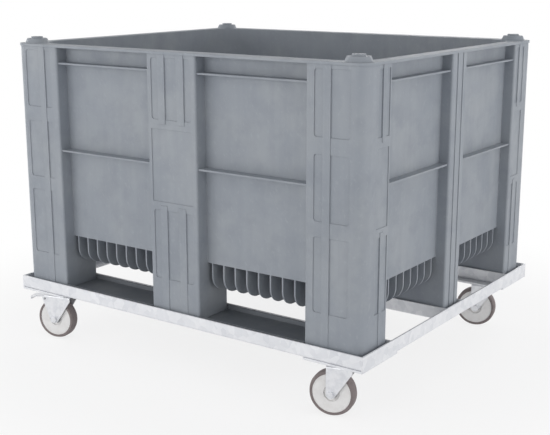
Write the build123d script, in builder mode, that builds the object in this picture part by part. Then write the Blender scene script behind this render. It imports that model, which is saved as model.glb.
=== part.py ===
import math
import os

from build123d import *

os.makedirs("parts", exist_ok=True)

# Castors. Heights are above the floor, and a castor's own frame has its swivel axis at the origin.
wheel_diameter = 125.0
wheel_width = 32.0
castor_height = 162.0
castor_trail = 28.0
castor_yaw = 13.5
pivot_from_end = 100.0
pivot_from_side = 77.0

# Dolly frame, folded from galvanised sheet
frame_length = 1222.0
frame_width = 1022.0
frame_height = 37.0
sheet = 4.0
bend_radius = 5.0
outer_tray_width = 149.0
middle_tray_width = 104.0
rail_flange = 40.0
corner_plate_side = 176.0
corner_plate_thickness = 6.0
corner_plate_radius = 30.0

# Bin, outside. Its heights are counted from the runners' undersides.
bin_length = 1200.0
bin_width = 1000.0
bin_height = 745.0
rim_thickness = 7.0
rim_radius = 38.0
rim_edge_radius = 2.0
post_inset = 3.0
post_radius = 34.0
post_edge_radius = 6.0
corner_post_length = 167.0
corner_post_depth = 126.0
side_post_width = 170.0
end_post_width = 86.0
side_recess = 39.0
end_recess = 32.0
ledge_thickness = 5.0
ledge_setback = 7.0
upper_ledge = 690.0
lower_ledge = 436.0

# Bin, inside and underneath
wall = 5.0
cavity_radius = 88.0
cavity_floor_radius = 15.0
floor_underside = 176.0
floor_thickness = 6.0
fin_thickness = 4.5
fin_bottom = 95.0
fin_radius = 45.0
side_fin_pitch = 38.8
side_fin_count = 9
end_fin_pitch = 40.0
end_fin_count = 8

# Stacking lugs on the rim
lug_base = 70.0
lug_shoulder = 58.0
lug_shoulder_height = 13.0
lug_cap = 34.0
lug_height = 18.0
lug_from_end = 48.0
lug_from_side = 45.0

# Relief on the posts: sunk pads, sunk label places and raised ribs
pad_depth = 2.0
rib_height = 1.5
pad_radius = 8.0
label_bottom = 337.0
label_top = 537.0
upper_pad_bottom = 563.0
upper_pad_top = 728.0
lower_pad_bottom = 118.0
lower_pad_top = 314.0
rib_overrun = 12.0
side_pad_width = 138.0
side_label_width = 144.0
side_rib_width = 24.0
side_rib_centre = 33.0
corner_pad_width = 103.0
corner_pad_centre = 506.0
corner_rib_width = 22.0
corner_rib_centre = 491.0
corner_band_gap = 32.0
end_pad_width = 56.0
end_pad_centre = 408.0
end_rib_width = 16.0
flute_width = 9.0
flute_centre = 16.0

# Runners under the feet, and the screws that hold them
runner_thickness = 20.0
runner_overhang = 3.5
runner_lip = 5.0
runner_lip_height = 12.0
screw_diameter = 8.0
screw_length = 40.0
screw_head = 16.0
screw_head_height = 5.0
screw_recess = 8.0
screw_clearance = 0.4
pillar_diameter = 24.0

# Castor top plate, its bolts and the swivel
top_plate_length = 105.0
top_plate_width = 85.0
top_plate_thickness = 4.0
top_plate_radius = 8.0
bolt_pitch_x = 80.0
bolt_pitch_y = 60.0
bolt_diameter = 8.0
bolt_head = 13.0
bolt_head_height = 5.3
bolt_clearance = 0.4
bolt_end_gap = 1.0
race_outer = 46.0
race_inner = 34.0
race_height = 13.0
thrust_bearing_height = 6.0
thrust_clearance = 0.3
kingpin_diameter = 12.0
kingpin_head = 22.0
kingpin_head_height = 3.0
kingpin_head_gap = 0.1
running_clearance = 0.05

# Fork and axle
head_diameter = 58.0
head_height = 5.0
head_taper = 20.0
fork_gap = 40.0
fork_sheet = 3.0
fork_front = 30.0
fork_shoulder = 14.0
fork_bend = 5.0
fork_end_radius = 13.0
axle_diameter = 10.0
axle_head = 17.0
axle_head_height = 6.4
axle_nut_height = 8.0
spacer_diameter = 16.0
spacer_gap = 0.2

# Wheels
tyre_thickness = 9.5
tyre_shoulder = 3.0
tread_width = 16.0
core_face_inset = 1.5
hub_recess = 44.0
hub_recess_depth = 4.0
bearing_diameter = 30.0
bearing_width = 9.0
hub_bore = 20.0

# Brakes, on the two castors at the left end
pedal_pivot_back = 31.0
pedal_pivot_height = 127.0
pedal_reach = 57.0
pedal_drop = 5.0
pedal_width = 34.0
pedal_sheet = 3.0
pedal_lip = 9.0
pedal_boss = 12.0
pedal_pin_diameter = 6.0
pedal_pin_overhang = 2.0
pedal_swing = 20.0
ear_radius = 9.0
shoe_nose_radius = 2.5
shoe_gap = 0.5

# Levels, faces and centres that follow from the sizes above
wheel_radius = wheel_diameter / 2
rail_bottom = castor_height + corner_plate_thickness
tray_floor = rail_bottom + sheet
bin_base = tray_floor
side_face = bin_width / 2 - post_inset
end_face = bin_length / 2 - post_inset
side_panel = side_face - side_recess
end_panel = end_face - end_recess
foot_x = end_face - corner_post_length / 2
foot_y = side_face - corner_post_depth / 2
foot_inner_x = end_face - corner_post_length
foot_inner_y = side_face - corner_post_depth
screw_places = [(x, y) for x in (-foot_x, 0, foot_x) for y in (-foot_y, 0, foot_y)]
side_bay = (foot_inner_x + side_post_width / 2) / 2
end_bay = (foot_inner_y + end_post_width / 2) / 2
pivot_x = frame_length / 2 - pivot_from_end
pivot_y = frame_width / 2 - pivot_from_side
castor_places = [(x, y) for x in (-pivot_x, pivot_x) for y in (-pivot_y, pivot_y)]
outer_tray_y = (frame_width - outer_tray_width) / 2
fork_top = castor_height - top_plate_thickness - race_height - thrust_bearing_height
core_radius = wheel_radius - tyre_thickness
core_face = wheel_width / 2 - core_face_inset
hub_face = core_face - hub_recess_depth
fork_outside = fork_gap / 2 + fork_sheet
pedal_pivot_x = -castor_trail - pedal_pivot_back


def level(height):
    """Horizontal plane at a height counted from the bin's underside."""
    return Plane.XY.offset(bin_base + height)


def save(piece, name):
    """Label a finished piece and write it."""
    piece.part.label = name
    export_step(piece.part, f"parts/{name}.step")


def draw_feet(inset, with_centre):
    """Draw the posts' outlines in plan, smaller all round by the inset, into the sketch being made."""
    with Locations(*[(sx * foot_x, sy * foot_y) for sx in (-1, 1) for sy in (-1, 1)]):
        Rectangle(corner_post_length - 2 * inset, corner_post_depth - 2 * inset)
    with Locations((0, foot_y), (0, -foot_y)):
        Rectangle(side_post_width - 2 * inset, corner_post_depth - 2 * inset)
    with Locations((foot_x, 0), (-foot_x, 0)):
        Rectangle(corner_post_length - 2 * inset, end_post_width - 2 * inset)
    if with_centre:
        Rectangle(side_post_width - 2 * inset, end_post_width - 2 * inset)


def round_feet(outline, inset):
    """Round the outlines: the four outermost corners of the bin are large, the rest small."""
    corners = outline.vertices().sort_by_distance((0, 0, 0))
    fillet(corners[:-4], max(post_edge_radius - inset, 1.0))
    fillet(outline.vertices().sort_by_distance((0, 0, 0))[-4:], post_radius - inset)


def draw_fin(half_length):
    """Draw a floor fin's outline, its lower corners rounded so that a fork slides past."""
    top = floor_underside + floor_thickness / 2
    with Locations((0, bin_base + (fin_bottom + top) / 2)):
        outline = Rectangle(2 * half_length, top - fin_bottom)
    fillet(outline.vertices().group_by(Axis.Y)[0], fin_radius)


# The outward faces of the four sides, each with its sketch's Y axis upwards
front_plane = Plane(origin=(0, -side_face, bin_base), x_dir=(1, 0, 0), z_dir=(0, -1, 0))
back_plane = Plane(origin=(0, side_face, bin_base), x_dir=(-1, 0, 0), z_dir=(0, 1, 0))
right_plane = Plane(origin=(end_face, 0, bin_base), x_dir=(0, 1, 0), z_dir=(1, 0, 0))
left_plane = Plane(origin=(-end_face, 0, bin_base), x_dir=(0, -1, 0), z_dir=(-1, 0, 0))
rim_underside = bin_height - rim_thickness

side_fins = [side * (side_bay + (i - (side_fin_count - 1) / 2) * side_fin_pitch)
             for side in (-1, 1) for i in range(side_fin_count)]
foot_fins = [side * (edge - fin_thickness / 2 * turn)
             for side in (-1, 1) for edge, turn in ((side_post_width / 2, 1), (foot_inner_x, -1))]
end_fins = [side * (end_bay + (i - (end_fin_count - 1) / 2) * end_fin_pitch)
            for side in (-1, 1) for i in range(end_fin_count)]

# Bin shell: one moulding of tub, hollow posts and feet, ledges, rim, floor fins and lugs
with BuildPart() as bin_shell:
    with BuildSketch(level(floor_underside)):
        RectangleRounded(2 * end_panel, 2 * side_panel, cavity_radius + wall)
    extrude(amount=rim_underside - floor_underside)
    with BuildSketch(level(runner_thickness)) as feet:
        draw_feet(0, True)
        round_feet(feet, 0)
    extrude(amount=floor_underside - runner_thickness)
    with BuildSketch(level(floor_underside)) as posts:
        draw_feet(0, False)
        round_feet(posts, 0)
    extrude(amount=rim_underside - floor_underside)
    with BuildSketch(level(upper_ledge), level(lower_ledge)):
        RectangleRounded(2 * (end_face - ledge_setback), 2 * (side_face - ledge_setback), post_radius)
    extrude(amount=ledge_thickness)
    with BuildSketch(level(rim_underside)):
        RectangleRounded(bin_length, bin_width, rim_radius)
    extrude(amount=rim_thickness)
    # Fins across the bin between the feet, and fins along it beside and between the feet rows
    with BuildSketch(*[Plane.YZ.offset(x) for x in side_fins + foot_fins]):
        draw_fin(side_panel)
    extrude(amount=fin_thickness / 2, both=True)
    with BuildSketch(*[Plane.XZ.offset(y) for y in end_fins]):
        draw_fin(end_panel)
        with Locations((side_bay, bin_base + fin_bottom), (-side_bay, bin_base + fin_bottom)):
            Rectangle(foot_inner_x - side_post_width / 2, 2 * floor_underside, mode=Mode.SUBTRACT)
    extrude(amount=fin_thickness / 2, both=True)
    # Lugs, which seat in the feet of a bin stacked on top
    with BuildSketch(level(bin_height)):
        with GridLocations(bin_length - 2 * lug_from_end, bin_width - 2 * lug_from_side, 2, 2):
            Circle(lug_base / 2)
    lug_slope = math.degrees(math.atan2((lug_base - lug_shoulder) / 2, lug_shoulder_height))
    extrude(amount=lug_shoulder_height, taper=lug_slope)
    with BuildSketch(level(bin_height)):
        with GridLocations(bin_length - 2 * lug_from_end, bin_width - 2 * lug_from_side, 2, 2):
            Circle(lug_cap / 2)
    extrude(amount=lug_height)
    # Hollow inside the feet, open at the bottom, and inside the posts outside the tub's own wall
    with BuildSketch(level(0)) as foot_hollows:
        draw_feet(wall, True)
        round_feet(foot_hollows, wall)
    extrude(amount=floor_underside, mode=Mode.SUBTRACT)
    with BuildSketch(level(floor_underside)) as post_hollows:
        draw_feet(wall, False)
        round_feet(post_hollows, wall)
        RectangleRounded(2 * end_panel, 2 * side_panel, cavity_radius + wall, mode=Mode.SUBTRACT)
    extrude(amount=rim_underside - floor_underside, mode=Mode.SUBTRACT)
    # Screw pillars inside the feet
    with BuildSketch(level(runner_thickness)):
        with Locations(*screw_places):
            Circle(pillar_diameter / 2)
    extrude(amount=floor_underside + floor_thickness / 2 - runner_thickness)
    with BuildSketch(level(runner_thickness)):
        with Locations(*screw_places):
            Circle(screw_diameter / 2 + running_clearance)
    extrude(amount=screw_length, mode=Mode.SUBTRACT)
    # The space that holds the load
    with BuildSketch(level(floor_underside + floor_thickness)):
        RectangleRounded(2 * (end_panel - wall), 2 * (side_panel - wall), cavity_radius)
    extrude(amount=bin_height, mode=Mode.SUBTRACT)
    # Sunk pads and label places, then the ribs that run over them
    with BuildSketch(front_plane, back_plane):
        for bottom, top in ((upper_pad_bottom, upper_pad_top), (lower_pad_bottom, lower_pad_top)):
            with Locations((0, (bottom + top) / 2)):
                RectangleRounded(side_pad_width, top - bottom, pad_radius)
        with Locations((0, (label_bottom + label_top) / 2)):
            Rectangle(side_label_width, label_top - label_bottom)
        for bottom, top in ((upper_pad_bottom, upper_pad_top),
                            (label_bottom + corner_band_gap / 2, label_top - corner_band_gap / 2),
                            (lower_pad_bottom, lower_pad_top)):
            with Locations((corner_pad_centre, (bottom + top) / 2), (-corner_pad_centre, (bottom + top) / 2)):
                RectangleRounded(corner_pad_width, top - bottom, pad_radius)
    extrude(amount=-pad_depth, mode=Mode.SUBTRACT)
    with BuildSketch(right_plane, left_plane):
        for bottom, top in ((upper_pad_bottom, upper_pad_top), (lower_pad_bottom, lower_pad_top),
                            (label_bottom, label_top)):
            with Locations((end_pad_centre, (bottom + top) / 2), (-end_pad_centre, (bottom + top) / 2)):
                Rectangle(end_pad_width, top - bottom)
        with Locations((flute_centre, (runner_thickness + rim_underside) / 2),
                       (-flute_centre, (runner_thickness + rim_underside) / 2)):
            Rectangle(flute_width, rim_underside - runner_thickness)
    extrude(amount=-pad_depth, mode=Mode.SUBTRACT)
    with BuildSketch(front_plane.offset(-pad_depth), back_plane.offset(-pad_depth)):
        for bottom, top in ((upper_pad_bottom - rib_overrun, rim_underside),
                            (runner_thickness, lower_pad_top + rib_overrun)):
            with Locations((side_rib_centre, (bottom + top) / 2), (-side_rib_centre, (bottom + top) / 2)):
                Rectangle(side_rib_width, top - bottom)
        with Locations((corner_rib_centre, (runner_thickness + rim_underside) / 2),
                       (-corner_rib_centre, (runner_thickness + rim_underside) / 2)):
            Rectangle(corner_rib_width, rim_underside - runner_thickness)
    extrude(amount=pad_depth + rib_height)
    with BuildSketch(right_plane.offset(-pad_depth), left_plane.offset(-pad_depth)):
        for bottom, top in ((upper_pad_bottom - rib_overrun, rim_underside),
                            (runner_thickness, lower_pad_top + rib_overrun)):
            with Locations((end_pad_centre, (bottom + top) / 2), (-end_pad_centre, (bottom + top) / 2)):
                Rectangle(end_rib_width, top - bottom)
    extrude(amount=pad_depth + rib_height)
save(bin_shell, "bin_shell")


def make_runner(centre_y, width, screw_y):
    """A runner: a flat bar with upright lips between the feet, and counterbored screw holes."""
    with BuildPart() as runner:
        with BuildSketch(level(0)) as outline:
            with Locations((0, centre_y)):
                Rectangle(2 * end_face, width)
            if centre_y:
                outer = outline.vertices().sort_by_distance((0, 0, 0))[-2:]
                fillet(outer, post_radius)
            else:
                fillet(outline.vertices(), post_edge_radius)
        extrude(amount=runner_thickness)
        with BuildSketch(level(runner_thickness)):
            for edge in (centre_y - width / 2, centre_y + width / 2):
                inward = 1 if edge < centre_y else -1
                with Locations((side_bay, edge + inward * runner_lip / 2),
                               (-side_bay, edge + inward * runner_lip / 2)):
                    Rectangle(foot_inner_x - side_post_width / 2, runner_lip)
        extrude(amount=runner_lip_height)
        with Locations(*[Location((x, screw_y, bin_base), (180, 0, 0)) for x in (-foot_x, 0, foot_x)]):
            CounterBoreHole(screw_diameter / 2 + screw_clearance, screw_head / 2 + screw_clearance,
                            screw_recess, runner_thickness)
    return runner


outer_runner_width = corner_post_depth + runner_overhang
outer_runner_y = side_face - outer_runner_width / 2
save(make_runner(-outer_runner_y, outer_runner_width, -foot_y), "front_runner")
save(make_runner(0, end_post_width + 2 * runner_overhang, 0), "middle_runner")
save(make_runner(outer_runner_y, outer_runner_width, foot_y), "back_runner")

# Screws that hold the runners, driven from below into the pillars
with BuildPart() as runner_screws:
    with BuildSketch(level(screw_recess - screw_head_height)):
        with Locations(*screw_places):
            Circle(screw_head / 2)
    extrude(amount=screw_head_height)
    with BuildSketch(level(screw_recess)):
        with Locations(*screw_places):
            Circle(screw_diameter / 2)
    extrude(amount=screw_length)
save(runner_screws, "runner_screws")


def draw_bolt_holes(radius, mode):
    """Draw the bolt circles of one castor about the current centre."""
    with GridLocations(bolt_pitch_x, bolt_pitch_y, 2, 2):
        Circle(radius, mode=mode)


def make_tray(centre_y, width, bolted):
    """A folded tray, open at the top, that holds one runner."""
    with BuildPart() as tray:
        with BuildSketch(Plane.YZ.offset(sheet - frame_length / 2)) as section:
            with Locations((centre_y, rail_bottom + frame_height / 2)):
                Rectangle(width, frame_height)
            fillet(section.vertices().group_by(Axis.Y)[0], bend_radius)
            with Locations((centre_y, tray_floor + frame_height / 2)):
                inside = RectangleRounded(width - 2 * sheet, frame_height, bend_radius - sheet, mode=Mode.PRIVATE)
            add(inside, mode=Mode.SUBTRACT)
        extrude(amount=frame_length - 2 * sheet)
        if bolted:
            with BuildSketch(Plane.XY.offset(rail_bottom)):
                with Locations((pivot_x, math.copysign(pivot_y, centre_y)),
                               (-pivot_x, math.copysign(pivot_y, centre_y))):
                    draw_bolt_holes(bolt_diameter / 2 + bolt_clearance, Mode.ADD)
            extrude(amount=sheet, mode=Mode.SUBTRACT)
    return tray


save(make_tray(-outer_tray_y, outer_tray_width, True), "front_tray")
save(make_tray(0, middle_tray_width, False), "middle_tray")
save(make_tray(outer_tray_y, outer_tray_width, True), "back_tray")

# End rails: an upright across the whole frame, with a bottom flange between the trays
tray_inner_y = frame_width / 2 - outer_tray_width
for side, name in ((-1, "left_rail"), (1, "right_rail")):
    with BuildPart() as rail:
        with BuildSketch(Plane.XY.offset(rail_bottom)):
            with Locations((side * (frame_length - sheet) / 2, 0)):
                Rectangle(sheet, frame_width)
        extrude(amount=frame_height)
        with BuildSketch(Plane.XY.offset(rail_bottom)):
            flange_y = (tray_inner_y + middle_tray_width / 2) / 2
            with Locations((side * (frame_length - rail_flange) / 2, flange_y),
                           (side * (frame_length - rail_flange) / 2, -flange_y)):
                Rectangle(rail_flange, tray_inner_y - middle_tray_width / 2)
        extrude(amount=sheet)
    save(rail, name)

# Corner plates, welded under the trays, that carry the castors
with BuildPart() as corner_plates:
    with BuildSketch(Plane.XY.offset(castor_height)) as plates:
        plate_x = (frame_length - corner_plate_side) / 2
        plate_y = (frame_width - corner_plate_side) / 2
        with Locations(*[(sx * plate_x, sy * plate_y) for sx in (-1, 1) for sy in (-1, 1)]):
            Rectangle(corner_plate_side, corner_plate_side)
        fillet(plates.vertices().sort_by_distance((0, 0, 0))[:4], corner_plate_radius)
        with Locations(*castor_places):
            draw_bolt_holes(bolt_diameter / 2 + bolt_clearance, Mode.SUBTRACT)
    extrude(amount=corner_plate_thickness)
save(corner_plates, "corner_plates")

# Bolts from below through each castor's top plate, the corner plate and the tray's floor
bolt_seat = castor_height - top_plate_thickness
with BuildPart() as castor_bolts:
    with BuildSketch(Plane.XY.offset(bolt_seat - bolt_head_height)):
        with Locations(*castor_places):
            with GridLocations(bolt_pitch_x, bolt_pitch_y, 2, 2):
                RegularPolygon(bolt_head / 2, 6, major_radius=False)
    extrude(amount=bolt_head_height)
    with BuildSketch(Plane.XY.offset(bolt_seat)):
        with Locations(*castor_places):
            draw_bolt_holes(bolt_diameter / 2, Mode.ADD)
    extrude(amount=tray_floor - bolt_end_gap - bolt_seat)
save(castor_bolts, "castor_bolts")

# One castor in its own frame, trailing towards -X, from which all four are placed

with BuildPart() as top_plate:
    with BuildSketch(Plane.XY.offset(bolt_seat)):
        RectangleRounded(top_plate_length, top_plate_width, top_plate_radius)
        draw_bolt_holes(bolt_diameter / 2 + bolt_clearance, Mode.SUBTRACT)
    extrude(amount=top_plate_thickness)
    with BuildSketch(Plane.XY.offset(bolt_seat - race_height)):
        Circle(race_outer / 2)
        Circle(race_inner / 2, mode=Mode.SUBTRACT)
    extrude(amount=race_height)
    with BuildSketch(Plane.XY.offset(bolt_seat)):
        Circle(kingpin_diameter / 2)
    extrude(amount=top_plate_thickness, mode=Mode.SUBTRACT)

with BuildPart() as thrust_bearing:
    with BuildSketch(Plane.XY.offset(fork_top)):
        Circle(race_outer / 2)
        Circle(race_inner / 2, mode=Mode.SUBTRACT)
    extrude(amount=thrust_bearing_height)

with BuildPart() as kingpin:
    with BuildSketch(Plane.XY.offset(castor_height)):
        Circle(kingpin_diameter / 2)
    extrude(amount=fork_top - fork_sheet - kingpin_head_gap - castor_height)
    with BuildSketch(Plane.XY.offset(fork_top - fork_sheet - kingpin_head_gap)):
        Circle(kingpin_head / 2)
    extrude(amount=-kingpin_head_height)


def make_fork(braked):
    """A pressed fork: two tapering legs, the bridge between them and the round swivel head."""
    with BuildPart() as fork:
        with BuildSketch(Plane.XZ) as leg:
            with Locations((-castor_trail, wheel_radius)):
                Circle(fork_end_radius)
            back = castor_trail + fork_end_radius
            with Locations(((fork_front - back) / 2, fork_top - fork_shoulder / 2)):
                Rectangle(fork_front + back, fork_shoulder)
            if braked:
                with Locations((pedal_pivot_x, pedal_pivot_height)):
                    Circle(ear_radius)
            make_hull()
        extrude(amount=fork_outside, both=True)
        edges = fork.edges().filter_by(Axis.X).group_by(Axis.Z)[-1]
        fillet(edges, fork_bend)
        with BuildSketch(Plane.YZ.offset(-2 * wheel_diameter)):
            with Locations((0, (fork_top - fork_sheet) / 2)):
                Rectangle(fork_gap, fork_top - fork_sheet)
        extrude(amount=4 * wheel_diameter, mode=Mode.SUBTRACT)
        if braked:
            # The bridge ends where the plain fork's does, so that the pedal has room between the ears
            with BuildSketch(Plane.XY):
                with Locations((-back - wheel_diameter / 2, 0)):
                    Rectangle(wheel_diameter, fork_gap)
            extrude(amount=castor_height, mode=Mode.SUBTRACT)
        with BuildSketch(Plane.XY.offset(fork_top)):
            Circle(head_diameter / 2)
        extrude(amount=head_height, taper=head_taper)
        with BuildSketch(Plane.XY.offset(fork_top)):
            Circle(race_outer / 2 + thrust_clearance)
        extrude(amount=head_height, mode=Mode.SUBTRACT)
        with BuildSketch(Plane.XY.offset(fork_top - fork_sheet)):
            Circle(kingpin_diameter / 2 + running_clearance)
        extrude(amount=fork_sheet, mode=Mode.SUBTRACT)
        with BuildSketch(Plane.XZ):
            with Locations((-castor_trail, wheel_radius)):
                Circle(axle_diameter / 2 + running_clearance)
            if braked:
                with Locations((pedal_pivot_x, pedal_pivot_height)):
                    Circle(pedal_pin_diameter / 2 + running_clearance)
        extrude(amount=fork_outside, both=True, mode=Mode.SUBTRACT)
    return fork


plain_fork = make_fork(False)
braked_fork = make_fork(True)

# The wheel turns about this axis; its sections are drawn along the axle, with the radius upwards
axle_line = Axis((-castor_trail, 0, wheel_radius), (0, 1, 0))
axle_plane = Plane(origin=(-castor_trail, 0, wheel_radius), x_dir=(0, 1, 0), z_dir=(1, 0, 0))
near_plane = Plane(origin=(-castor_trail, 0, wheel_radius), x_dir=(1, 0, 0), z_dir=(0, -1, 0))

with BuildPart() as wheel:
    with BuildSketch(axle_plane):
        with BuildLine():
            Polyline((0, hub_bore / 2), (hub_face - bearing_width, hub_bore / 2),
                     (hub_face - bearing_width, bearing_diameter / 2), (hub_face, bearing_diameter / 2),
                     (hub_face, hub_recess / 2), (core_face, hub_recess / 2), (core_face, core_radius),
                     (0, core_radius))
            mirror(about=Plane.YZ)
        make_face()
    revolve(axis=axle_line)

with BuildPart() as tyre:
    with BuildSketch(axle_plane):
        with BuildLine():
            Polyline((0, core_radius), (wheel_width / 2, core_radius),
                     (wheel_width / 2, wheel_radius - tyre_shoulder), (tread_width / 2, wheel_radius),
                     (0, wheel_radius))
            mirror(about=Plane.YZ)
        make_face()
    revolve(axis=axle_line)

with BuildPart() as bearings:
    for face in (near_plane.offset(hub_face), near_plane.offset(bearing_width - hub_face)):
        with BuildSketch(face):
            Circle(bearing_diameter / 2)
            Circle(axle_diameter / 2 + running_clearance, mode=Mode.SUBTRACT)
        extrude(amount=-bearing_width)

with BuildPart() as axle_spacers:
    for face in (near_plane.offset(fork_gap / 2), near_plane.offset(-hub_face - spacer_gap)):
        with BuildSketch(face):
            Circle(spacer_diameter / 2)
            Circle(axle_diameter / 2 + running_clearance, mode=Mode.SUBTRACT)
        extrude(amount=hub_face + spacer_gap - fork_gap / 2)

with BuildPart() as axle:
    with BuildSketch(near_plane.offset(-fork_outside)):
        RegularPolygon(axle_head / 2, 6, major_radius=False)
    extrude(amount=-axle_head_height)
    with BuildSketch(near_plane.offset(-fork_outside)):
        Circle(axle_diameter / 2)
    extrude(amount=2 * fork_outside + axle_nut_height)

with BuildPart() as axle_nut:
    with BuildSketch(near_plane.offset(fork_outside)):
        RegularPolygon(axle_head / 2, 6, major_radius=False)
        Circle(axle_diameter / 2 + running_clearance, mode=Mode.SUBTRACT)
    extrude(amount=axle_nut_height)

# Brake pedal: a pressed plate on a pin, with a shoe that swings towards the tyre as it is trodden down
shoe_line = Vector(pedal_pivot_back, wheel_radius - pedal_pivot_height)
shoe_reach = shoe_line.length - wheel_radius - shoe_gap - shoe_nose_radius
shoe_rest = shoe_line.normalized().rotate(Axis.Z, -pedal_swing)
pedal_top = pedal_pivot_height + (pedal_boss - pedal_sheet) / 2
with BuildPart() as brake_pedal:
    with BuildSketch(Plane.XZ):
        with Locations((pedal_pivot_x, pedal_pivot_height)):
            Circle(pedal_boss / 2)
        with Locations((pedal_pivot_x + shoe_rest.X * shoe_reach, pedal_pivot_height + shoe_rest.Y * shoe_reach)):
            Circle(shoe_nose_radius)
        make_hull()
    extrude(amount=pedal_width / 2, both=True)
    with BuildSketch(Plane.XZ):
        with BuildLine():
            Polyline((pedal_pivot_x, pedal_top + pedal_sheet / 2),
                     (pedal_pivot_x - pedal_reach, pedal_top + pedal_sheet / 2 - pedal_drop),
                     (pedal_pivot_x - pedal_reach, pedal_top - pedal_drop - pedal_lip),
                     (pedal_pivot_x - pedal_reach + pedal_sheet, pedal_top - pedal_drop - pedal_lip),
                     (pedal_pivot_x - pedal_reach + pedal_sheet, pedal_top - pedal_sheet / 2 - pedal_drop),
                     (pedal_pivot_x, pedal_top - pedal_sheet / 2), close=True)
        make_face()
    extrude(amount=pedal_width / 2, both=True)
    with BuildSketch(Plane.XZ):
        with Locations((pedal_pivot_x, pedal_pivot_height)):
            Circle(pedal_pin_diameter / 2 + running_clearance)
    extrude(amount=pedal_width / 2, both=True, mode=Mode.SUBTRACT)

with BuildPart() as pedal_pin:
    with BuildSketch(Plane.XZ):
        with Locations((pedal_pivot_x, pedal_pivot_height)):
            Circle(pedal_pin_diameter / 2)
    extrude(amount=fork_outside + pedal_pin_overhang, both=True)


def place(piece, x, y, yaw, name):
    """Write a copy of a castor's piece at a castor's place."""
    with BuildPart() as copy:
        with Locations(Location((x, y, 0), (0, 0, yaw))):
            add(piece.part)
    save(copy, name)


castors = (("front_left", -pivot_x, -pivot_y, True), ("front_right", pivot_x, -pivot_y, False),
           ("back_left", -pivot_x, pivot_y, True), ("back_right", pivot_x, pivot_y, False))
for corner, x, y, braked in castors:
    place(top_plate, x, y, 0, f"top_plate_{corner}")
    place(kingpin, x, y, 0, f"kingpin_{corner}")
    place(thrust_bearing, x, y, castor_yaw, f"thrust_bearing_{corner}")
    place(braked_fork if braked else plain_fork, x, y, castor_yaw, f"fork_{corner}")
    place(axle, x, y, castor_yaw, f"axle_{corner}")
    place(axle_nut, x, y, castor_yaw, f"axle_nut_{corner}")
    place(axle_spacers, x, y, castor_yaw, f"axle_spacers_{corner}")
    place(wheel, x, y, castor_yaw, f"wheel_{corner}")
    place(tyre, x, y, castor_yaw, f"tyre_{corner}")
    place(bearings, x, y, castor_yaw, f"bearings_{corner}")
    if braked:
        place(brake_pedal, x, y, castor_yaw, f"brake_pedal_{corner}")
        place(pedal_pin, x, y, castor_yaw, f"pedal_pin_{corner}")
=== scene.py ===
import math

import bmesh
import bpy
from mathutils import Matrix, Vector

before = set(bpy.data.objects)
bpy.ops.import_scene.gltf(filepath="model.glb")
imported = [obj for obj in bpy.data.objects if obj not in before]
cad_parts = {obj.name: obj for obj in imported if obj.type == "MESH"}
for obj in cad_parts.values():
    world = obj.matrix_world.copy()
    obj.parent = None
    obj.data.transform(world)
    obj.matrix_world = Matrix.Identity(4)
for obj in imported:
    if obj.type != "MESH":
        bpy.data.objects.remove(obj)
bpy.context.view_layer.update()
scene = bpy.context.scene

corners = ["front_left", "front_right", "back_left", "back_right"]


# Camera: it stands in front of the right-hand corner, a little above the rim
camera = {
    "azimuth": 35.43,        # degrees from straight ahead
    "elevation": 13.49,
    "roll": -0.03,
    "distance": 3.26043,
    "target": (-0.01468, 0.0, 0.37107),
    "lens": 68.155,
    "sensor": 36.0,
}


def makeCamera(spec):
    turn = math.radians(spec["azimuth"])
    lift = math.radians(spec["elevation"])
    back = Vector((math.sin(turn) * math.cos(lift), -math.cos(turn) * math.cos(lift), math.sin(lift)))
    data = bpy.data.cameras.new("viewCamera")
    data.lens = spec["lens"]
    data.sensor_width = spec["sensor"]
    data.sensor_fit = "HORIZONTAL"
    data.clip_start = 0.05
    data.clip_end = 60
    made = bpy.data.objects.new("viewCamera", data)
    scene.collection.objects.link(made)
    made.location = Vector(spec["target"]) + back * spec["distance"]
    made.rotation_mode = "QUATERNION"
    aim = (-back).to_track_quat("-Z", "Y")
    made.rotation_quaternion = aim @ Matrix.Rotation(math.radians(spec["roll"]), 3, "Z").to_quaternion()
    scene.camera = made


makeCamera(camera)
print("camera placed")


# Shader maths: a Link is a socket, and arithmetic on links adds Math nodes
class Link:
    def __init__(self, mat, socket):
        self.mat = mat
        self.socket = socket

    def math(self, operation, first, second):
        return self.mat.node("ShaderNodeMath", {"operation": operation}, {0: first, 1: second})

    def __add__(self, other):
        return self.math("ADD", self, other)

    def __radd__(self, other):
        return self.math("ADD", other, self)

    def __sub__(self, other):
        return self.math("SUBTRACT", self, other)

    def __rsub__(self, other):
        return self.math("SUBTRACT", other, self)

    def __mul__(self, other):
        return self.math("MULTIPLY", self, other)

    def __rmul__(self, other):
        return self.math("MULTIPLY", other, self)

    def __pow__(self, other):
        return self.math("POWER", self, other)


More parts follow.
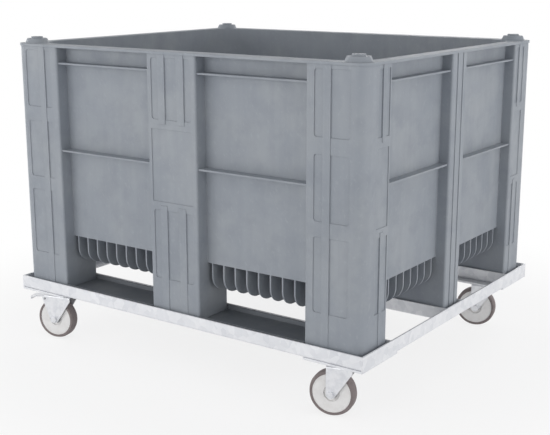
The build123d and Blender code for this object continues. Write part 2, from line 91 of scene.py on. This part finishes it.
class Mat:
    def __init__(self, name):
        self.data = bpy.data.materials.new(name)
        self.data.use_nodes = True
        self.tree = self.data.node_tree
        self.shader = self.tree.nodes["Principled BSDF"]
        self.output = self.tree.nodes["Material Output"]

    # Adds one node: its settings first, then the values or links of its sockets. Gives the named output.
    def node(self, kind, settings=None, sockets=None, out=0):
        made = self.tree.nodes.new(kind)
        for key, value in (settings or {}).items():
            if key == "stops":
                self.setStops(made.color_ramp, value)
            else:
                setattr(made, key, value)
        for key, value in (sockets or {}).items():
            self.feed(made.inputs[key], value)
        return Link(self, made.outputs[out])

    def setStops(self, ramp, stops):
        while len(ramp.elements) < len(stops):
            ramp.elements.new(0.5)
        for element, (place, colour) in zip(ramp.elements, stops):
            element.position = place
            element.color = (*colour, 1.0) if hasattr(colour, "__len__") else (colour, colour, colour, 1.0)

    def feed(self, socket, value):
        if isinstance(value, Link):
            self.tree.links.new(value.socket, socket)
        elif socket.type == "RGBA" and len(value) == 3:
            socket.default_value = (*value, 1.0)
        else:
            socket.default_value = value

    def set(self, **values):
        for key, value in values.items():
            self.feed(self.shader.inputs[socketNames.get(key, key)], value)

    def place(self, scale=(1, 1, 1), turn=(0, 0, 0)):
        where = self.node("ShaderNodeTexCoord", out="Object")
        turned = self.node("ShaderNodeMapping", {}, {"Vector": where, "Rotation": turn})
        return self.node("ShaderNodeVectorMath", {"operation": "MULTIPLY"}, {0: turned, 1: scale})

    def noise(self, where, scale, detail=3.0, rough=0.55, distortion=0.0):
        return self.node("ShaderNodeTexNoise", {}, {"Vector": where, "Scale": scale, "Detail": detail,
                                                    "Roughness": rough, "Distortion": distortion}, "Fac")

    # A mask that goes from 0 at low to 1 at high
    def ramp(self, value, low, high):
        return self.node("ShaderNodeMapRange", {"interpolation_type": "SMOOTHSTEP"},
                         {"Value": value, "From Min": low, "From Max": high})

    def mix(self, mask, first, second):
        return self.node("ShaderNodeMix", {"data_type": "RGBA"}, {0: mask, 6: first, 7: second}, 2)

    def bump(self, height, distance, strength=1.0, normal=None):
        sockets = {"Height": height, "Distance": distance, "Strength": strength}
        if normal:
            sockets["Normal"] = normal
        return self.node("ShaderNodeBump", {}, sockets)

    # Rounded edges for light to catch on
    def softEdges(self, radius):
        return self.node("ShaderNodeBevel", {"samples": 4}, {"Radius": radius})

    # 1 along outward and inward edges, 0 on the flats; it marks where highlights are painted onto edges
    def edgeHighlightMask(self, radius, low=0.02, high=0.30):
        rounded = self.softEdges(radius)
        flat = self.node("ShaderNodeNewGeometry", out="Normal")
        same = self.node("ShaderNodeVectorMath", {"operation": "DOT_PRODUCT"}, {0: rounded, 1: flat}, "Value")
        return self.ramp(1 - same, low, high)


socketNames = {
    "colour": "Base Color", "rough": "Roughness", "metal": "Metallic", "normal": "Normal",
    "ior": "IOR", "coat": "Coat Weight", "coatRough": "Coat Roughness", "specular": "Specular IOR Level",
}


def colourOf(red, green, blue):
    # a colour as seen on a screen, 0 to 255, in the linear values that shaders use
    def linear(value):
        share = value / 255
        return share / 12.92 if share <= 0.04045 else ((share + 0.055) / 1.055) ** 2.4
    return tuple(linear(value) for value in (red, green, blue))


# The bin's plastic: blue-grey, cloudy, with faint flow streaks down the walls, fine scuffs and painted
# highlights along its edges
binPlastic = {
    "colour": colourOf(149, 155, 163),
    "cloud": colourOf(157, 162, 168),
    "deep": colourOf(137, 143, 152),
    # paler tone: used for the real scuffs and for the painted highlights along the edges
    "paler": colourOf(174, 179, 186),
    "edgeRadius": 0.0016,
    "rough": 0.52,
}


def makeBinPlastic(spec, name, shade=1.0):
    mat = Mat(name)
    where = mat.place()
    cloud = mat.ramp(mat.noise(where, 5.5, 4, 0.6, 0.4), 0.36, 0.70)
    patches = mat.ramp(mat.noise(where, 13, 3, 0.6), 0.40, 0.72)
    streaks = mat.noise(mat.place((26, 26, 2.2)), 1.0, 4, 0.6, 0.6)
    scuffs = mat.ramp(mat.noise(mat.place((150, 150, 9), (0.5, 0.35, 0)), 1.0, 2, 0.5, 0.3), 0.60, 0.74)
    counter = mat.ramp(mat.noise(mat.place((120, 120, 8), (-0.6, 0.5, 0)), 1.0, 2, 0.5, 0.3), 0.62, 0.76)
    # painted highlight: edges turn paler and glossier, standing in for light catching the rounded edges
    paler = mat.edgeHighlightMask(spec["edgeRadius"])
    # shade scales every colour down; below 1 it paints shade into the copy, as for the runners
    colour = mat.mix(cloud, [c * shade for c in spec["colour"]], [c * shade for c in spec["cloud"]])
    colour = mat.mix(patches * 0.45, colour, [c * shade for c in spec["deep"]])
    colour = mat.mix(mat.ramp(streaks, 0.35, 0.70) * 0.30, colour, [c * shade for c in spec["deep"]])
    colour = mat.mix(scuffs * 0.22 + counter * 0.16, colour, [c * shade for c in spec["paler"]])
    colour = mat.mix(paler * 0.55, colour, [c * shade for c in spec["paler"]])
    grain = mat.noise(where, 900, 2, 0.6)
    height = grain * 0.25 + streaks * 0.6 + scuffs * 0.5
    mat.set(colour=colour, rough=spec["rough"] + 0.10 * patches - 0.12 * paler + 0.06 * scuffs,
            normal=mat.bump(height, 0.0004, 0.35, mat.softEdges(spec["edgeRadius"])), specular=0.42)
    return mat.data


# Galvanised sheet: pale, with faint spangle crystals
galvanised = {
    "colour": colourOf(236, 237, 240),
    "dark": colourOf(214, 216, 221),
    "crystal": 55.0,
    "edgeRadius": 0.0008,
}


def makeGalvanised(spec, name):
    mat = Mat(name)
    where = mat.place()
    bent = mat.noise(where, 30, 2)
    crystals = mat.node("ShaderNodeTexVoronoi", {"feature": "F1"},
                        {"Vector": where, "Scale": spec["crystal"], "Randomness": 1.0}, "Color")
    tone = mat.node("ShaderNodeSeparateColor", {}, {"Color": crystals}, "Red")
    clouds = mat.ramp(mat.noise(where, 9, 4, 0.6), 0.35, 0.70)
    colour = mat.mix(tone * 0.55 + clouds * 0.35, spec["colour"], spec["dark"])
    # painted highlight: edges turn back to the pale colour, standing in for light catching them
    paler = mat.edgeHighlightMask(spec["edgeRadius"])
    colour = mat.mix(paler * 0.4, colour, spec["colour"])
    mat.set(colour=colour, metal=0.30, rough=0.38 + 0.16 * tone + 0.10 * bent,
            normal=mat.bump(tone * 0.5 + clouds * 0.5, 0.0003, 0.25, mat.softEdges(spec["edgeRadius"])))
    return mat.data


# Zinc-plated castor parts and small steel parts
zinc = {"colour": colourOf(230, 231, 234), "dark": colourOf(204, 206, 211), "edgeRadius": 0.0006}


def makeZinc(spec, name, shade=1.0, rough=0.28):
    mat = Mat(name)
    where = mat.place()
    clouds = mat.ramp(mat.noise(where, 60, 4, 0.6), 0.35, 0.70)
    brushed = mat.noise(mat.place((90, 90, 900)), 1.0, 2)
    colour = mat.mix(clouds * 0.7, [c * shade for c in spec["colour"]], [c * shade for c in spec["dark"]])
    mat.set(colour=colour, metal=0.55, rough=rough + 0.14 * clouds + 0.08 * brushed,
            normal=mat.bump(brushed, 0.00008, 0.25, mat.softEdges(spec["edgeRadius"])))
    return mat.data


# Wheels: off-white nylon cores with a brown-grey rubber tyre
nylon = {"colour": colourOf(240, 239, 238), "dust": colourOf(220, 217, 215), "edgeRadius": 0.0008}
rubber = {"colour": colourOf(126, 116, 116), "dust": colourOf(146, 138, 136), "edgeRadius": 0.0010}


def makeNylon(spec, name):
    mat = Mat(name)
    where = mat.place()
    clouds = mat.ramp(mat.noise(where, 40, 4, 0.6), 0.40, 0.75)
    mat.set(colour=mat.mix(clouds * 0.5, spec["colour"], spec["dust"]), rough=0.34 + 0.14 * clouds,
            normal=mat.bump(mat.noise(where, 600, 2), 0.0001, 0.2, mat.softEdges(spec["edgeRadius"])),
            specular=0.45)
    return mat.data


def makeRubber(spec, name):
    mat = Mat(name)
    where = mat.place()
    clouds = mat.ramp(mat.noise(where, 55, 4, 0.65), 0.35, 0.72)
    specks = mat.ramp(mat.noise(where, 420, 2, 0.6), 0.60, 0.72)
    # painted highlight: tyre edges turn towards the paler dust colour as if lit; the specks are real dust
    paler = mat.edgeHighlightMask(spec["edgeRadius"])
    colour = mat.mix(clouds * 0.6, spec["colour"], spec["dust"])
    colour = mat.mix(paler * 0.35 + specks * 0.25, colour, spec["dust"])
    mat.set(colour=colour, rough=0.62 + 0.14 * clouds,
            normal=mat.bump(specks + clouds * 0.4, 0.0002, 0.3, mat.softEdges(spec["edgeRadius"])),
            specular=0.35)
    return mat.data


finishes = {
    "bin": makeBinPlastic(binPlastic, "binPlastic"),
    # painted shade: the runners are the bin plastic darkened to 0.62, for their place in shadow inside the
    # trays
    "runner": makeBinPlastic(binPlastic, "runnerPlasticPaintedShade", 0.62),
    "sheet": makeGalvanised(galvanised, "galvanisedSheet"),
    "zinc": makeZinc(zinc, "zincPlate"),
    "steel": makeZinc(zinc, "darkSteel", 0.45, 0.34),
    "nylon": makeNylon(nylon, "wheelNylon"),
    "rubber": makeRubber(rubber, "tyreRubber"),
}

nodeFinish = {
    "bin_shell": "bin", "front_runner": "runner", "middle_runner": "runner", "back_runner": "runner",
    "runner_screws": "steel", "front_tray": "sheet", "middle_tray": "sheet", "back_tray": "sheet",
    "left_rail": "sheet", "right_rail": "sheet", "corner_plates": "sheet", "castor_bolts": "zinc",
}
castorFinish = {
    "top_plate": "zinc", "kingpin": "steel", "thrust_bearing": "steel", "fork": "zinc", "axle": "zinc",
    "axle_nut": "zinc", "axle_spacers": "steel", "wheel": "nylon", "tyre": "rubber", "bearings": "steel",
    "brake_pedal": "zinc", "pedal_pin": "steel",
}
for corner in corners:
    for piece, finish in castorFinish.items():
        nodeFinish[f"{piece}_{corner}"] = finish

for name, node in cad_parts.items():
    node.data.materials.clear()
    node.data.materials.append(finishes[nodeFinish[name]])
print("materials made for", len(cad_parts), "nodes")


# Studio: a pale floor that turns to plain white away from the object, and soft light from all sides
studio = {
    "floor": colourOf(246, 246, 247),
    "floorShown": 0.20,      # share of the floor's own light and shadow that is seen, near the object
    "fadeStart": 0.75,       # metres from the middle, where the floor begins to turn white
    "fadeEnd": 1.60,
    "sky": 0.50,
}
lamps = {
    "frontLamp": {"place": (-1.4, -4.2, 1.1), "size": (4.4, 2.0), "power": 60},
    "rightLamp": {"place": (4.6, 0.1, 1.1), "size": (4.0, 2.0), "power": 60},
    "backLamp": {"place": (-0.2, 4.4, 1.3), "size": (4.4, 2.0), "power": 45},
    "leftLamp": {"place": (-4.6, -0.1, 1.3), "size": (4.0, 2.0), "power": 45},
}
lampAim = (0, 0, 0.45)


def makeFloor(spec):
    mesh = bpy.data.meshes.new("floor")
    shape = bmesh.new()
    bmesh.ops.create_circle(shape, cap_ends=True, segments=64, radius=14)
    shape.to_mesh(mesh)
    shape.free()
    floor = bpy.data.objects.new("floor", mesh)
    scene.collection.objects.link(floor)
    mat = Mat("floorPaper")
    mat.set(colour=spec["floor"], rough=0.9, specular=0.1)
    white = mat.node("ShaderNodeEmission", {}, {"Color": (1, 1, 1), "Strength": 1.0})
    away = mat.node("ShaderNodeVectorMath", {"operation": "LENGTH"}, {0: mat.place()}, "Value")
    shown = spec["floorShown"] * (1 - mat.ramp(away, spec["fadeStart"], spec["fadeEnd"]))
    seen = mat.node("ShaderNodeLightPath", out="Is Camera Ray")
    mirrored = mat.node("ShaderNodeLightPath", out="Is Glossy Ray")
    through = mat.node("ShaderNodeLightPath", out="Is Transmission Ray")
    share = (seen + mirrored + through) * (1 - shown)
    both = mat.node("ShaderNodeMixShader", {}, {0: share, 1: Link(mat, mat.shader.outputs[0]), 2: white})
    mat.tree.links.new(both.socket, mat.output.inputs["Surface"])
    mesh.materials.append(mat.data)


def makeWorld(spec):
    world = bpy.data.worlds.new("studioSky")
    world.use_nodes = True
    scene.world = world
    tree = world.node_tree
    background = tree.nodes["Background"]
    path = tree.nodes.new("ShaderNodeLightPath")
    seen = tree.nodes.new("ShaderNodeMath")
    seen.operation = "MAXIMUM"
    tree.links.new(path.outputs["Is Camera Ray"], seen.inputs[0])
    tree.links.new(path.outputs["Is Glossy Ray"], seen.inputs[1])
    either = tree.nodes.new("ShaderNodeMath")
    either.operation = "MAXIMUM"
    tree.links.new(seen.outputs[0], either.inputs[0])
    tree.links.new(path.outputs["Is Transmission Ray"], either.inputs[1])
    strength = tree.nodes.new("ShaderNodeMapRange")
    tree.links.new(either.outputs[0], strength.inputs["Value"])
    strength.inputs["To Min"].default_value = spec["sky"]
    strength.inputs["To Max"].default_value = 1.0
    background.inputs["Color"].default_value = (1, 1, 1, 1)
    tree.links.new(strength.outputs["Result"], background.inputs["Strength"])


def makeLamp(name, spec):
    data = bpy.data.lights.new(name, "AREA")
    data.shape = "RECTANGLE"
    data.size, data.size_y = spec["size"]
    data.energy = spec["power"]
    lamp = bpy.data.objects.new(name, data)
    scene.collection.objects.link(lamp)
    lamp.location = spec["place"]
    lamp.rotation_mode = "QUATERNION"
    lamp.rotation_quaternion = (Vector(lampAim) - Vector(spec["place"])).to_track_quat("-Z", "Y")


makeFloor(studio)
makeWorld(studio)
for name, spec in lamps.items():
    makeLamp(name, spec)
scene.view_settings.view_transform = "Standard"
print("studio lit")
